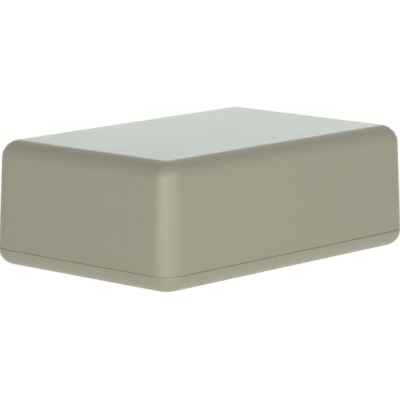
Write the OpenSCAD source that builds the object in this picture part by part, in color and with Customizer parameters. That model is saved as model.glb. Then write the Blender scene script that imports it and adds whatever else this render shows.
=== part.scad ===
// Plastic project box: a deep cover over a shallow base, held together by four screws from below.
// The origin is the centre of the underside, X runs along the box, Y across it and Z upwards.

/* [Case] */
// Length of the box, measured at the parting plane
box_length = 90; // [76:1:140]
// Width of the box, measured at the parting plane
box_width = 60; // [50:1:100]
// Height of the closed box
box_height = 30.8; // [22:0.2:50]
// Height of the parting plane above the underside
base_h = 4.25; // [4:0.05:7]
// Radius of the upright corners at the parting plane
corner_r = 5.6; // [5:0.1:8]
// Radius round the top edge of the cover
top_r = 4.4; // [1:0.1:6]
// Radius round the foot of the base
foot_r = 3.9; // [1:0.1:5]
// Draft angle of the cover's walls, in degrees
draft = 2.4; // [0:0.1:3]
// Thickness of the side walls
wall = 2.2; // [1.8:0.1:2.6]
// Thickness of the cover's top
top_t = 2; // [1.4:0.1:3]
// Thickness of the base's floor
floor_t = 2; // [1.4:0.1:2.4]

/* [Rim] */
// Height of the shadow groove between the two halves
groove_h = 0.3; // [0.1:0.05:0.6]
// Depth of the shadow groove
groove_d = 0.4; // [0.1:0.05:0.6]
// Thickness of the locating lip that stands up from the base
lip_t = 0.9; // [0.7:0.05:1]
// Height of the locating lip
lip_h = 1.8; // [1:0.1:3]
// Clearance round the lip inside the cover's rebate
lip_gap = 0.25; // [0.15:0.05:0.3]

/* [Screws] */
// Distance of each screw's axis from the two nearest sides
screw_inset = 7.5; // [7:0.1:9]
// Length of a screw under its head
screw_l = 10; // [7:0.5:14]
// Core diameter of a screw's shank
shank_d = 2.1; // [1.6:0.1:2.2]
// Length of the cone at a screw's tip
tip_l = 2.1; // [1:0.1:3]
// Diameter of that cone's blunt end
tip_d = 0.5; // [0.3:0.1:1]
// Diameter of a screw's head
head_d = 5.4; // [4.4:0.1:5.8]
// Height of a screw's head
head_h = 1.9; // [1.4:0.1:2.2]
// Radius round the top of a screw's head
head_r = 1.2; // [0.4:0.1:1.3]
// Width across the cross recess in a screw's head
recess_w = 2.9; // [2:0.1:3.4]
// Width of each slot of the cross recess
recess_t = 0.6; // [0.4:0.05:0.8]
// Width across the cross recess at its bottom
recess_bottom_w = 1.4; // [0.8:0.1:1.8]
// Depth of the cross recess
recess_h = 1.1; // [0.6:0.1:1.2]
// Clearance round a screw's head in its counterbore
head_gap = 0.3; // [0.2:0.05:0.5]
// Width of the chamfer round the mouth of a counterbore
mouth_edge = 0.3; // [0.1:0.1:0.5]
// Diameter of the clearance hole for a screw's shank in the base
shank_hole_d = 3.2; // [2.8:0.1:3.6]
// Thickness of the plastic that a screw's head pulls on
seat_t = 1.9; // [1.5:0.1:2.2]
// Diameter of the pedestals round the screw holes in the base
pedestal_d = 8.8; // [8:0.1:9.6]

/* [Cover inside] */
// Diameter of the screw bosses in the cover
boss_d = 6.6; // [5.4:0.1:7.4]
// Diameter of the pilot bores in the bosses
pilot_d = 2.5; // [2.4:0.1:2.8]
// Width of the lead-in chamfer at the mouth of a pilot bore
lead_in = 0.4; // [0.2:0.1:0.8]
// Room left in a pilot bore beyond the screw's tip
pilot_spare = 1.5; // [0.5:0.5:3]
// Thickness of the webs that tie the bosses to the walls
web_t = 1.2; // [0.8:0.1:1.6]
// Board slots along each long wall
side_slots = 3; // [1:1:4]
// Distance between neighbouring board slots
slot_pitch = 15; // [8:1:16]
// Clear width of a board slot
slot_w = 1.8; // [1.2:0.1:2.4]
// Thickness of the two ribs that form a board slot
rib_t = 1.1; // [0.8:0.1:1.6]
// How far those ribs reach in from the wall at the rim
rib_d = 1.8; // [1.4:0.1:2.4]

/* [Base inside] */
// Distance between the board standoffs along the box
standoff_x = 50; // [30:1:52]
// Distance between the board standoffs across the box
standoff_y = 30; // [20:1:34]
// Height of the standoffs above the floor
standoff_h = 3; // [2:0.5:6]
// Diameter of the standoffs
standoff_d = 5; // [4:0.1:6]
// Diameter of the screw bores in the standoffs
standoff_bore_d = 2; // [1.6:0.1:2.4]
// Plastic left below each standoff's bore
standoff_skin = 1.2; // [0.8:0.1:1.4]

/* [Hidden] */
$fn = 64;
plastic = [0.62, 0.61, 0.54];
steel = [0.72, 0.72, 0.74];
over = 1; // how far a cut runs past the face it opens
least_r = 0.3; // smallest radius that a moulded edge is left with
corner_flat = 0.1; // least flat that a rounded edge leaves at a corner's axis

// Planes of the rim, from below: the base's edge, the plane the cover sits on, the lip and its rebate
rim_base_z = base_h - groove_h / 2;
rim_cover_z = base_h + groove_h / 2;
lip_z = rim_cover_z + lip_h;
rebate_z = lip_z + lip_gap;
ceiling_z = box_height - top_t;

// Places of the corner axes, the screws and the seats of the screw heads
corner_x = box_length / 2 - corner_r;
corner_y = box_width / 2 - corner_r;
screw_x = box_length / 2 - screw_inset;
screw_y = box_width / 2 - screw_inset;
seat_z = rim_cover_z - seat_t;

// Radii of the upright corners, outside and inside, and how far the draft takes each wall in
inner_r = corner_r - wall;
outer_lean = (box_height - rim_cover_z) * tan(draft);
inner_lean = (ceiling_z - rim_cover_z) * tan(draft);

// Rounds to a hundredth, so that outlines that meet share their points to the last digit
function on_grid(v) = round(100 * v) / 100;

// Edge radii, each held to what its wall can carry; the inside follows the outside at the wall's distance
top_edge_r = on_grid(min(top_r, corner_r - outer_lean - corner_flat));
foot_edge_r = on_grid(min(foot_r, rim_base_z - corner_flat, corner_r - corner_flat));
ceiling_edge_r = on_grid(min(max(top_edge_r - wall, least_r), inner_r - inner_lean - corner_flat));
floor_edge_r = on_grid(min(max(foot_edge_r - floor_t, least_r), inner_r - corner_flat));

// Section of a leaning wall with a rounded upper edge, from a corner's axis (x = 0) to the surface.
// The wall stands at r_low at z_low and leans in by lean degrees up to z_top.
module wall_section(z_low, z_top, r_low, lean, edge_r) {
  arc_z = z_top - edge_r;
  wall_x = on_grid(r_low - (arc_z - z_low) * tan(lean));
  polygon([[0, z_low], [r_low, z_low], [wall_x, arc_z], [0, arc_z]]);
  translate([0, arc_z]) square([wall_x - edge_r, edge_r]);
  translate([wall_x - edge_r, arc_z]) intersection() {
    circle(r = edge_r);
    square(edge_r);
  }
}

// Plain band of a section, for ledges and rings
module band(r_in, r_out, z_low, z_top) {
  translate([r_in, z_low]) square([r_out - r_in, z_top - z_low]);
}

// Runs a section round the box: along the four sides and through a quarter turn at each corner
module run_round() {
  for (turn = [0, 180]) rotate([0, 0, turn]) {
    translate([corner_x, corner_y, 0]) rotate([90, 0, 0]) linear_extrude(2 * corner_y) children();
    translate([-corner_x, corner_y, 0]) rotate([90, 0, 90]) linear_extrude(2 * corner_x) children();
    translate([corner_x, corner_y, 0]) rotate_extrude(angle = 90) children();
    translate([-corner_x, corner_y, 0]) rotate([0, 0, 90]) rotate_extrude(angle = 90) children();
  }
}

// The block inside the corner axes, which a section that starts at x = 0 closes round
module core(z_low, z_top) {
  translate([-corner_x, -corner_y, z_low]) cube([2 * corner_x, 2 * corner_y, z_top - z_low]);
}

module at_screws() {
  for (sx = [-1, 1], sy = [-1, 1]) translate([sx * screw_x, sy * screw_y, 0]) children();
}

module at_standoffs() {
  for (sx = [-1, 1], sy = [-1, 1]) translate([sx * standoff_x / 2, sy * standoff_y / 2, 0]) children();
}

// Two ribs with a board slot between them, on the wall that faces +Y at the distance face
module slot_ribs(face) {
  for (side = [-1, 1])
    translate([side * (slot_w + rib_t) / 2 - rib_t / 2, face - wall - rib_d, rebate_z])
      cube([rib_t, rib_d + wall, box_height - rebate_z]);
}

// Screw boss with the two webs that tie it to its corner's walls; sx and sy give the corner
module boss(sx, sy) {
  translate([sx * screw_x, sy * screw_y, 0]) {
    translate([0, 0, rim_cover_z]) cylinder(d = boss_d, h = box_height - rim_cover_z);
    for (wall_turn = [0, 1]) mirror([sx < 0 ? 1 : 0, 0, 0]) mirror([0, sy < 0 ? 1 : 0, 0])
      mirror([wall_turn, -wall_turn, 0])
        translate([0, -web_t / 2, rebate_z]) cube([screw_inset, web_t, box_height - rebate_z]);
  }
}

// Everything that stands inside the cover; the cavity's own walls trim it
module cover_inside() {
  for (sx = [-1, 1], sy = [-1, 1]) boss(sx, sy);
  for (turn = [0, 180]) rotate([0, 0, turn]) {
    for (i = [0 : side_slots - 1])
      translate([(i - (side_slots - 1) / 2) * slot_pitch, 0, 0]) slot_ribs(box_width / 2);
    rotate([0, 0, 90]) slot_ribs(box_length / 2);
  }
}

module cover_outside() {
  core(rim_cover_z, box_height);
  run_round() wall_section(rim_cover_z, box_height, corner_r, draft, top_edge_r);
}

module cover_cavity() {
  core(rim_cover_z - over, ceiling_z);
  run_round() {
    wall_section(rim_cover_z, ceiling_z, inner_r, draft, ceiling_edge_r);
    band(0, inner_r, rim_cover_z - over, rim_cover_z);
  }
}

module pilot_bore() {
  bore_top = seat_z + screw_l + pilot_spare;
  translate([0, 0, rim_cover_z - over]) cylinder(d = pilot_d, h = bore_top - rim_cover_z + over);
  translate([0, 0, rim_cover_z]) cylinder(d1 = pilot_d + 2 * lead_in, d2 = pilot_d, h = lead_in);
}

module cover() {
  color(plastic) difference() {
    cover_outside();
    difference() {
      cover_cavity();
      cover_inside();
    }
    run_round() band(inner_r - over, inner_r + lip_t + lip_gap, rim_cover_z - over, rebate_z);
    at_screws() pilot_bore();
  }
}

// Solid form of the base with its foot rounded, its ledge set back by the groove and its lip
module base_outside() {
  core(0, lip_z);
  run_round() {
    translate([0, rim_base_z]) mirror([0, 1]) wall_section(0, rim_base_z, corner_r, 0, foot_edge_r);
    band(0, corner_r - groove_d, rim_base_z, rim_cover_z);
    band(0, inner_r + lip_t, rim_cover_z, lip_z);
  }
}

module base_cavity() {
  core(floor_t, lip_z + over);
  run_round() translate([0, lip_z + over]) mirror([0, 1])
    wall_section(0, lip_z + over - floor_t, inner_r, 0, floor_edge_r);
}

// Screw pedestals and board standoffs that stand up from the base's floor
module base_inside() {
  at_screws() cylinder(d = pedestal_d, h = rim_cover_z);
  at_standoffs() cylinder(d = standoff_d, h = floor_t + standoff_h);
}

// Clearance hole with the counterbore that takes the screw's head, chamfered at its mouth
module screw_hole() {
  counterbore_d = head_d + 2 * head_gap;
  mouth_h = mouth_edge + over;
  translate([0, 0, -over]) cylinder(d1 = counterbore_d + 2 * mouth_h, d2 = counterbore_d, h = mouth_h);
  translate([0, 0, -over]) cylinder(d = counterbore_d, h = seat_z + over);
  translate([0, 0, -over]) cylinder(d = shank_hole_d, h = rim_cover_z + 2 * over);
}

module base() {
  color(plastic) difference() {
    base_outside();
    difference() {
      base_cavity();
      base_inside();
    }
    at_screws() screw_hole();
    at_standoffs() translate([0, 0, standoff_skin]) cylinder(d = standoff_bore_d, h = standoff_h + floor_t);
  }
}

// Cross recess that narrows with depth, cut upwards from z = 0
module cross_recess() {
  intersection() {
    for (turn = [0, 90]) rotate([0, 0, turn])
      translate([-recess_w, -recess_t / 2, -over]) cube([2 * recess_w, recess_t, recess_h + over]);
    cylinder(d1 = recess_w, d2 = recess_bottom_w, h = recess_h);
  }
}

// Self-tapping pan-head screw with its seat at z = 0 and its point upwards; the thread is left plain
module screw() {
  difference() {
    mirror([0, 0, 1]) rotate_extrude() wall_section(0, head_h, head_d / 2, 0, head_r);
    translate([0, 0, -head_h]) cross_recess();
  }
  cylinder(d = shank_d, h = screw_l - tip_l);
  translate([0, 0, screw_l - tip_l]) cylinder(d1 = shank_d, d2 = tip_d, h = tip_l);
}

module case_screws() {
  color(steel) at_screws() translate([0, 0, seat_z]) screw();
}

cover();
base();
case_screws();
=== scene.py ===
import math

import bmesh
import bpy
from mathutils import Matrix, Vector


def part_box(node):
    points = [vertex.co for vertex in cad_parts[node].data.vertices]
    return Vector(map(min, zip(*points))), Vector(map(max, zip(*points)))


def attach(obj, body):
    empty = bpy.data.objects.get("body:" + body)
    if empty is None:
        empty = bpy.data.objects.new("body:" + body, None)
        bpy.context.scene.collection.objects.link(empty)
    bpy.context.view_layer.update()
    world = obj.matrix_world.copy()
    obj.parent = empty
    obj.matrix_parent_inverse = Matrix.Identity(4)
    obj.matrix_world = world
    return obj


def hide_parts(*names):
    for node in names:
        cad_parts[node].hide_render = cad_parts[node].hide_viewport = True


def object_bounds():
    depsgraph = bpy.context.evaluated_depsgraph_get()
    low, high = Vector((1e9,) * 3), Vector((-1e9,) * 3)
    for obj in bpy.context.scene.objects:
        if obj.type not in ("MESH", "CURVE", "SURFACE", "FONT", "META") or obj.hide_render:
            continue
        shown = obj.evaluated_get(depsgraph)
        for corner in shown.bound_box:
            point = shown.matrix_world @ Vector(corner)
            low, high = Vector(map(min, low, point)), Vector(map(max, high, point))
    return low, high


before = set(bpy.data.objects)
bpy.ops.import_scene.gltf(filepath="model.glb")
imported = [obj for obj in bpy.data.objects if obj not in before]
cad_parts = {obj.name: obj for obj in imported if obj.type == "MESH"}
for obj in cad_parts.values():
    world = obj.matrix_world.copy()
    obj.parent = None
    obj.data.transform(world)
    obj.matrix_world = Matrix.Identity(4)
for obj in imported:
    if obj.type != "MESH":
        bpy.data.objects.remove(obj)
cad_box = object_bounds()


# ---- Cover -------------------------------------------------------------------------------------
# The deep upper half of the case, one injection moulding in pebble-grey ABS with tapering walls.
# The mould is spark-eroded, which leaves the plastic with a fine, even, dull grain, and four
# screws from below hold the cover to the base.

MM = 0.001  # a millimetre, in Blender's metres
GROOVE_Z = 4.25 * MM  # middle of the groove between the cover and the base
GROOVE_LIGHT_REACH = 0.158 * MM  # how far above and below it the painted light in the groove fades out


class Shade:
    """One output of a shader node. Arithmetic on it adds the Math nodes, so patterns read as maths."""

    def __init__(self, tree, socket=None):
        self.tree = tree
        self.socket = socket

    def node(self, kind, settings=None, inputs=None, output=0):
        """Adds a node of any kind: first its settings, then the values or links of its sockets."""
        added = self.tree.nodes.new("ShaderNode" + kind)
        for name, setting in (settings or {}).items():
            setattr(added, name, setting)
        for name, given in (inputs or {}).items():
            if isinstance(given, Shade):
                self.tree.links.new(given.socket, added.inputs[name])
            else:
                added.inputs[name].default_value = given
        return Shade(self.tree, added.outputs[output]) if added.outputs else self

    def maths(self, operation, first, second):
        return self.node("Math", {"operation": operation}, {0: first, 1: second})

    def __add__(self, other):
        return self.maths("ADD", self, other)

    def __sub__(self, other):
        return self.maths("SUBTRACT", self, other)

    def __rsub__(self, other):
        return self.maths("SUBTRACT", other, self)

    def __mul__(self, other):
        return self.maths("MULTIPLY", self, other)

    def clamped(self):
        return self.node("Clamp", None, {"Value": self})

    __radd__ = __add__
    __rmul__ = __mul__


def new_shader(owner):
    """Clears the nodes of a material or world, and gives the Shade that its own are added from."""
    owner.use_nodes = True
    owner.node_tree.nodes.clear()
    return Shade(owner.node_tree)


def tinted(colour, tone):
    """A fixed colour made lighter or darker by a varying tone."""
    return tone.node("VectorMath", {"operation": "SCALE"}, {0: colour, "Scale": tone})


def abs_plastic(name, shift):
    """Pebble-grey ABS off a spark-eroded mould. shift gives each moulding a pattern of its own."""
    pebble_grey = (0.334, 0.321, 0.238)
    material = bpy.data.materials.new(name)
    start = new_shader(material)
    spot = start.node("TexCoord", output="Object")
    place = start.node("Mapping", None, {"Vector": spot, "Location": shift})

    # Spark-eroded grain of 0.7 mm and finer, on the slower waviness of the mould's surface
    grain = start.node("TexNoise", None, {"Vector": place, "Scale": 1400.0, "Detail": 4.0})
    wave = start.node("TexNoise", None, {"Vector": place, "Scale": 240.0, "Detail": 1.0})
    # Slow change of tone where the melt flowed, and rare faint specks of darker pigment
    flow = start.node("TexNoise", None, {"Vector": place, "Scale": 40.0, "Detail": 2.0})
    from_speck = start.node("TexVoronoi", None, {"Vector": place, "Scale": 110.0})
    speck = (1.0 - from_speck * 18.0).clamped()

    # Painted light: the groove where the halves meet is made paler, which weakens the shade that falls
    # in it
    height = start.node("SeparateXYZ", None, {"Vector": spot}, output="Z")
    from_groove = (height - GROOVE_Z) * (1.0 / GROOVE_LIGHT_REACH)
    painted_groove_light = (1.0 - from_groove * from_groove).clamped()

    # The tone holds the plastic's own grain, flow and specks, plus the painted light in the groove
    tone = 1.0 + (grain - 0.5) * 0.1 + (flow - 0.5) * 0.03 - speck * 0.16 + painted_groove_light * 0.65
    roughness = 0.4 + (grain - 0.5) * 0.16 + (flow - 0.5) * 0.03 + speck * 0.3
    relief = grain + wave
    bump = start.node("Bump", None, {"Height": relief, "Strength": 0.6, "Distance": 0.1 * MM})
    surface = start.node("BsdfPrincipled", None, {
        "Base Color": tinted(pebble_grey, tone),
        "Roughness": roughness,
        "IOR": 1.5,
        "Normal": bump,
    })
    start.node("OutputMaterial", None, {"Surface": surface})
    return material


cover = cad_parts["cover"]
cover.data.materials[0] = abs_plastic("cover_abs", (0.05, 0.01, 0.0))


# ---- Base --------------------------------------------------------------------------------------
# The shallow lower half, moulded in the same plastic as the cover but in a mould of its own.
# It stands flat on its floor, and its lip locates the cover. A narrow shadow groove runs round
# the outside where the two halves meet.

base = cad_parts["base"]
base.data.materials[0] = abs_plastic("base_abs", (0.31, 0.17, 0.53))


# ---- Case screws -------------------------------------------------------------------------------
# Four self-tapping pan-head screws in zinc-plated steel, with a cross recess. They go in from
# below, with their heads sunk in the base, and cut their own thread in the cover's bosses.

HEAD_RADIUS = 2.7 * MM
HEAD_HEIGHT = 1.9 * MM
HEAD_EDGE = 1.2 * MM  # rounding round the top of the head
HEAD_SIDES = 48
RECESS_DEPTH = 1.2 * MM
TIP_ABOVE = 0.4 * MM  # how far the driver's tip stands out over the head
TIP_WIDE = (3.1 * MM, 0.75 * MM)  # width and thickness of one of its blades there
TIP_NARROW = (1.0 * MM, 0.5 * MM)  # the same at the tip's end
CORE_RADIUS = 1.05 * MM
POINT_LENGTH = 2.1 * MM  # cone at the shank's end
POINT_RADIUS = CORE_RADIUS / 4  # blunt end of that cone
CREST_RADIUS = 1.4 * MM
PITCH = 1.1 * MM
RIDGE_HALF = 0.3 * MM  # half the width of the thread's ridge at its root
RIDGE_SUNK = 0.1 * MM  # how far its root reaches into the core
RIDGE_STUB = 0.3  # share of its height that is left where it ends
TURN_STEPS = 24
THREAD_START = 1.6 * MM  # below the head
THREAD_STOP = 1.4 * MM  # before the point's end
screws_low, screws_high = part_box("case_screws")
seat_z = screws_low.z + HEAD_HEIGHT
shank_length = screws_high.z - seat_z


def turned(mesh, outline, steps):
    """Spins an outline of (radius, height) points about Z into a closed solid, and adds it to mesh."""
    points = [mesh.verts.new((radius, 0.0, height)) for radius, height in outline]
    edges = [mesh.edges.new(pair) for pair in zip(points, points[1:])]
    bmesh.ops.spin(
        mesh, geom=points + edges, axis=(0, 0, 1), cent=(0, 0, 0), dvec=(0, 0, 0),
        angle=math.tau, steps=steps, use_merge=True,
    )
    bmesh.ops.remove_doubles(mesh, verts=mesh.verts, dist=0.001 * MM)
    bmesh.ops.recalc_face_normals(mesh, faces=mesh.faces)


def rounding(centre, radius, start, stop, steps):
    """Points along an arc of an outline, with its angles in degrees."""
    angles = [math.radians(start + (stop - start) * step / steps) for step in range(steps + 1)]
    return [(centre[0] + radius * math.cos(a), centre[1] + radius * math.sin(a)) for a in angles]


def finished(name, mesh, material):
    """Makes a bmesh an object with smooth faces that break at sharp edges."""
    data = bpy.data.meshes.new(name)
    mesh.to_mesh(data)
    mesh.free()
    made = bpy.data.objects.new(name, data)
    bpy.context.scene.collection.objects.link(made)
    data.materials.append(material)
    data.shade_smooth()
    data.set_sharp_from_angle(angle=math.radians(35))
    return made


def cross_cutter():
    """Solid form of the driver's tip: two crossing blades that narrow as they go in."""
    mesh = bmesh.new()
    for turn in (0.0, math.pi / 2):
        blade = bmesh.ops.create_cube(mesh, size=1.0)["verts"]
        for corner in blade:
            deep = corner.co.z > 0
            width, thickness = TIP_NARROW if deep else TIP_WIDE
            corner.co.x *= width
            corner.co.y *= thickness
            corner.co.z = RECESS_DEPTH if deep else -TIP_ABOVE
        bmesh.ops.rotate(mesh, verts=blade, cent=(0, 0, 0), matrix=Matrix.Rotation(turn, 3, "Z"))
    return mesh


def thread(mesh, low, high):
    """Ridge of the thread from low to high: a triangle swept up the shank, lower at both ends."""
    blank = set(mesh.verts)
    root = CORE_RADIUS - RIDGE_SUNK
    profile = [(root, low - RIDGE_HALF), (CREST_RADIUS, low), (root, low + RIDGE_HALF)]
    points = [mesh.verts.new((radius, 0.0, height)) for radius, height in profile]
    edges = [mesh.edges.new((points[i], points[i - 1])) for i in range(3)]
    triangle = mesh.faces.new(points)
    turns = (high - low) / PITCH
    bmesh.ops.spin(
        mesh, geom=points + edges + [triangle], axis=(0, 0, 1), cent=(0, 0, 0),
        dvec=(0, 0, PITCH / TURN_STEPS), angle=math.tau * turns, steps=round(turns * TURN_STEPS),
    )
    for vertex in set(mesh.verts) - blank:
        radius = math.hypot(vertex.co.x, vertex.co.y)
        turns_from_end = min(vertex.co.z - low, high - vertex.co.z) / PITCH
        share = min(1.0, max(0.0, turns_from_end + RIDGE_STUB))
        wanted = root + (radius - root) * share
        vertex.co.x *= wanted / radius
        vertex.co.y *= wanted / radius
    bmesh.ops.recalc_face_normals(mesh, faces=mesh.faces)


def zinc_steel():
    """Bright zinc plating: a blue-white metal, clouded where the bath ran, with fine handling marks."""
    material = bpy.data.materials.new("zinc_steel")
    start = new_shader(material)
    place = start.node("TexCoord", output="Object")
    cloud = start.node("TexNoise", None, {"Vector": place, "Scale": 900.0, "Detail": 3.0})
    pits = start.node("TexNoise", None, {"Vector": place, "Scale": 6500.0, "Detail": 2.0})
    colour = start.node("Mix", {"data_type": "RGBA"}, {
        "Factor": cloud,
        "A": (0.60, 0.61, 0.62, 1.0),
        "B": (0.70, 0.69, 0.64, 1.0),
    }, output=2)
    bump = start.node("Bump", None, {"Height": pits, "Strength": 0.3, "Distance": 0.01 * MM})
    surface = start.node("BsdfPrincipled", None, {
        "Base Color": colour,
        "Metallic": 1.0,
        "Roughness": 0.22 + cloud * 0.2 + pits * 0.08,
        "Normal": bump,
    })
    start.node("OutputMaterial", None, {"Surface": surface})
    return material


screw_mesh = bmesh.new()
outline = [(0.0, -HEAD_HEIGHT)]
outline += rounding((HEAD_RADIUS - HEAD_EDGE, HEAD_EDGE - HEAD_HEIGHT), HEAD_EDGE, -90, 0, 8)
outline += [(HEAD_RADIUS, 0.0), (CORE_RADIUS, 0.0), (CORE_RADIUS, shank_length - POINT_LENGTH)]
outline += [(POINT_RADIUS, shank_length), (0.0, shank_length)]
turned(screw_mesh, outline, HEAD_SIDES)
zinc = zinc_steel()
screw = finished("screw_blank", screw_mesh, zinc)
cutter_mesh = cross_cutter()
bmesh.ops.translate(cutter_mesh, verts=cutter_mesh.verts, vec=(0, 0, -HEAD_HEIGHT))
cutter = finished("driver_tip", cutter_mesh, zinc)
recess = screw.modifiers.new("cross_recess", "BOOLEAN")
recess.operation = "DIFFERENCE"
recess.solver = "EXACT"
recess.use_self = True
recess.object = cutter
cut = screw.evaluated_get(bpy.context.evaluated_depsgraph_get()).to_mesh()

screws_mesh = bmesh.new()
screws_mesh.from_mesh(cut)
thread(screws_mesh, THREAD_START, shank_length - THREAD_STOP)
pattern_corners = list(screws_mesh.verts)
pattern = pattern_corners + list(screws_mesh.edges) + list(screws_mesh.faces)
screw_x = screws_high.x - HEAD_RADIUS
screw_y = screws_high.y - HEAD_RADIUS
for x, y, turn in ((-1, -1, 20), (1, -1, 65), (-1, 1, 40), (1, 1, 5)):
    copied = bmesh.ops.duplicate(screws_mesh, geom=pattern)["geom"]
    corners = [item for item in copied if isinstance(item, bmesh.types.BMVert)]
    turning = Matrix.Rotation(math.radians(turn), 3, "Z")
    bmesh.ops.rotate(screws_mesh, verts=corners, cent=(0, 0, 0), matrix=turning)
    bmesh.ops.translate(screws_mesh, verts=corners, vec=(x * screw_x, y * screw_y, seat_z))
bmesh.ops.delete(screws_mesh, geom=pattern_corners, context="VERTS")
bpy.data.objects.remove(screw)
bpy.data.objects.remove(cutter)
screws = finished("zinc_screws", screws_mesh, zinc)
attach(screws, "base")
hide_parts("case_screws")


# ---- Table -------------------------------------------------------------------------------------
# A luminous white table top, not part of the object. It lights the foot of the case from below,
# reads as white round it, and keeps the soft shadow of the lamps. From below one sees through it.

WHITE = (1.0, 1.0, 1.0, 1.0)
TABLE_LIGHT = 0.43  # what the table sheds on the case
TABLE_GLARE = 0.34  # what brings it up to white where it is looked at
TABLE_DROP = 0.1 * MM  # keeps its surface clear of the underside
TABLE_REACH = 4.0  # from its middle to its edges, in metres


def seen_directly(start):
    """1 where the camera, a reflection or a view through glass looks, 0 where light is only shed."""
    kinds = ("Is Camera Ray", "Is Glossy Ray", "Is Transmission Ray")
    camera_ray, glossy_ray, transmitted_ray = [start.node("LightPath", output=kind) for kind in kinds]
    return (camera_ray + glossy_ray + transmitted_ray).clamped()


table_mesh = bmesh.new()
bmesh.ops.create_grid(table_mesh, x_segments=1, y_segments=1, size=TABLE_REACH)
bmesh.ops.translate(table_mesh, verts=table_mesh.verts, vec=(0, 0, -TABLE_DROP))
white_top = bpy.data.materials.new("white_table_top")
start = new_shader(white_top)
matt = start.node("BsdfDiffuse", None, {"Color": (0.8, 0.8, 0.8, 1.0)})
strength = seen_directly(start) * TABLE_GLARE + TABLE_LIGHT
glow = start.node("Emission", None, {"Color": WHITE, "Strength": strength})
lit_top = start.node("AddShader", None, {0: matt, 1: glow})
clear = start.node("BsdfTransparent")
from_below = start.node("NewGeometry", output="Backfacing")
surface = start.node("MixShader", None, {0: from_below, 1: lit_top, 2: clear})
start.node("OutputMaterial", None, {"Surface": surface})
finished("table_top", table_mesh, white_top)


# ---- Light -------------------------------------------------------------------------------------
# A soft studio: a white surround that the camera and the reflections see, and two wide lamps in
# front of the case. Behind it a narrow, slightly cool lamp glances off its top, and a weak, warm one
# hangs higher, which softens the top's edge.

SURROUND_LIGHT = 0.04  # what the surround sheds on the case
world = bpy.data.worlds.new("white_surround")
bpy.context.scene.world = world
start = new_shader(world)
fill = start.node("Background", None, {"Color": WHITE, "Strength": SURROUND_LIGHT})
surround = start.node("Background", None, {"Color": WHITE, "Strength": 1.0})
surface = start.node("MixShader", None, {0: seen_directly(start), 1: fill, 2: surround})
start.node("OutputWorld", None, {"Surface": surface})


def facing(azimuth, elevation):
    """Direction from the case towards a viewer at that azimuth and elevation, in degrees."""
    a, e = math.radians(azimuth), math.radians(elevation)
    return Vector((math.sin(a) * math.cos(e), -math.cos(a) * math.cos(e), math.sin(e)))


def softbox(name, azimuth, elevation, distance, width, height, watts, colour=(1.0, 1.0, 1.0)):
    """Flat lamp at that place, turned to the case."""
    lamp = bpy.data.lights.new(name, "AREA")
    lamp.shape = "RECTANGLE"
    lamp.size = width
    lamp.size_y = height
    lamp.energy = watts
    lamp.color = colour
    made = bpy.data.objects.new(name, lamp)
    bpy.context.scene.collection.objects.link(made)
    towards = facing(azimuth, elevation)
    made.location = towards * distance
    made.rotation_euler = towards.to_track_quat("Z", "Y").to_euler()


softbox("front_left_lamp", -62.0, 6.0, 0.65, 0.6, 0.3, 2.7)
softbox("front_right_lamp", -10.0, 22.0, 1.1, 1.2, 1.0, 5.9)
softbox("back_lamp", 132.5, 8.0, 0.9, 1.0, 0.25, 2.5, (0.84, 1.0, 1.0))
softbox("high_back_lamp", 132.5, 45.0, 0.9, 0.8, 0.5, 0.65, (1.0, 0.88, 0.45))


# ---- Camera ------------------------------------------------------------------------------------
# A long lens a little above the case, looking at its near upright corner. Its place is given from
# the case's middle, in heights of the case.

CAMERA_AZIMUTH = -47.5
CAMERA_ELEVATION = 9.8
CAMERA_BACK = 22.53
CAMERA_RIGHT = -0.027
CAMERA_UP = -0.057
case_height = cad_box[1].z
back = facing(CAMERA_AZIMUTH, CAMERA_ELEVATION)
right = facing(CAMERA_AZIMUTH + 90.0, 0.0)
up = back.cross(right)
lens = bpy.data.cameras.new("long_lens")
lens.lens = 249.9
lens.sensor_width = 36.0
camera = bpy.data.objects.new("camera", lens)
bpy.context.scene.collection.objects.link(camera)
middle = Vector((0.0, 0.0, case_height / 2))
place = middle + case_height * (CAMERA_BACK * back + CAMERA_RIGHT * right + CAMERA_UP * up)
camera.matrix_world = Matrix.Translation(place) @ Matrix((right, up, back)).transposed().to_4x4()
bpy.context.scene.camera = camera
bpy.context.scene.view_settings.view_transform = "Standard"
